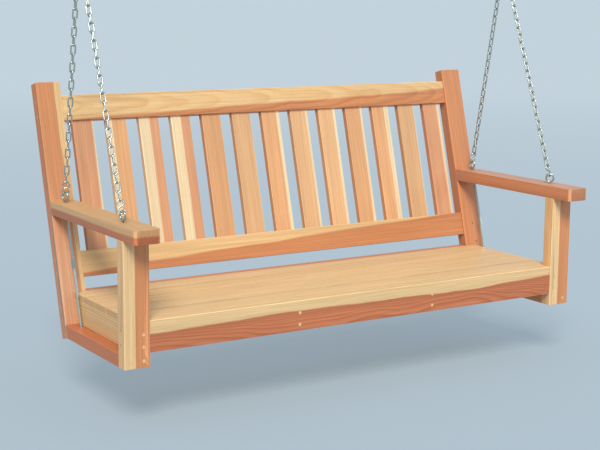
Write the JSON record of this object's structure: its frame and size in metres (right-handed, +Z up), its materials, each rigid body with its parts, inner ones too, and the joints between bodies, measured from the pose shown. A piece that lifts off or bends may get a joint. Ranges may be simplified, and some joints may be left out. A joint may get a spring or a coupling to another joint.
{
  "type": "porch swing",
  "caption": "Slatted timber porch swing with a leaning back and flat arms, hung by four chains that meet in a ring at each end.",
  "frame": {"origin": "midway between the two ceiling screws, on the ceiling's face; the bench hangs below it", "axes": "+X along the bench to the sitter's left, +Y towards the back, +Z up"},
  "size_m": [1.58, 0.7061, 1.2416],
  "materials": {
    "pale_sapwood": "planed and clear oiled, straight grain",
    "honey_heartwood": "planed and clear oiled, heartwood with sapwood edges",
    "russet_heartwood": "planed and clear oiled, red-brown heartwood",
    "zinc_plate": "bright zinc plate",
    "screw_steel": "plain steel"
  },
  "bodies": {
    "ceiling": {"ceiling_screw_left": "zinc_plate", "ceiling_screw_right": "zinc_plate"},
    "ring_left": {"hang_ring_left": "zinc_plate"},
    "ring_right": {"hang_ring_right": "zinc_plate"},
    "chains_left": {"chain_left_front": "zinc_plate", "chain_left_rear": "zinc_plate", "s_hooks_left": "zinc_plate"},
    "chains_right": {"chain_right_front": "zinc_plate", "chain_right_rear": "zinc_plate", "s_hooks_right": "zinc_plate"},
    "bench": {"eyebolts_front": "zinc_plate", "eyebolts_rear": "zinc_plate", "coupling_nuts": "zinc_plate", "hanger_rods": "zinc_plate", "rod_washers": "zinc_plate", "rod_nuts": "zinc_plate", "back_post_left": "russet_heartwood", "back_post_right": "russet_heartwood", "front_post_left": "honey_heartwood", "front_post_right": "honey_heartwood", "arm_left": "honey_heartwood", "arm_right": "russet_heartwood", "side_rail_left": "russet_heartwood", "side_rail_right": "russet_heartwood", "top_back_rail": "pale_sapwood", "lower_back_rail": "honey_heartwood", "rear_seat_rail": "russet_heartwood", "front_seat_rail": "russet_heartwood", "seat_end_left": "honey_heartwood", "seat_end_right": "honey_heartwood", "seat_support_left": "honey_heartwood", "seat_support_right": "honey_heartwood", "back_slat_01": "russet_heartwood", "back_slat_02": "honey_heartwood", "back_slat_03": "honey_heartwood", "back_slat_04": "honey_heartwood", "back_slat_05": "honey_heartwood", "back_slat_06": "honey_heartwood", "back_slat_07": "honey_heartwood", "back_slat_08": "honey_heartwood", "back_slat_09": "honey_heartwood", "back_slat_10": "russet_heartwood", "back_slat_11": "honey_heartwood", "back_slat_12": "honey_heartwood", "back_slat_13": "russet_heartwood", "seat_slat_1": "pale_sapwood", "seat_slat_2": "pale_sapwood", "seat_slat_3": "pale_sapwood", "seat_slat_4": "pale_sapwood", "seat_slat_5": "pale_sapwood", "seat_strip": "russet_heartwood", "wood_plugs": "pale_sapwood", "wood_screws": "screw_steel", "seat_nails": "screw_steel", "arm_dowels": "pale_sapwood"}
  },
  "joints": [
    {"name": "swing", "type": "hinge", "parent": "ceiling", "child": "ring_left", "pos_m": [-0.758, 0, -0.0445], "axis": [1, 0, 0], "range_deg": [-30, 30]},
    {"name": "sway", "type": "hinge", "parent": "ring_left", "child": "chains_left", "pos_m": [-0.758, 0, -0.07524], "axis": [0, 1, 0], "range_deg": [-8, 8]},
    {"name": "sway_level", "type": "hinge", "parent": "chains_left", "child": "bench", "pos_m": [-0.758, 0, -0.74862], "axis": [0, 1, 0], "range_deg": [-8, 8]},
    {"name": "sway_right", "type": "hinge", "parent": "bench", "child": "chains_right", "pos_m": [0.758, 0, -0.74862], "axis": [0, 1, 0], "range_deg": [-8, 8]},
    {"name": "swing_right", "type": "hinge", "parent": "ceiling", "child": "ring_right", "pos_m": [0.758, 0, -0.0445], "axis": [1, 0, 0], "range_deg": [-30, 30]}
  ],
  "couplings": [
    {"joint": "sway_level", "follows": "sway", "ratio": -1},
    {"joint": "sway_right", "follows": "sway", "ratio": 1},
    {"joint": "swing_right", "follows": "swing", "ratio": 1}
  ]
}
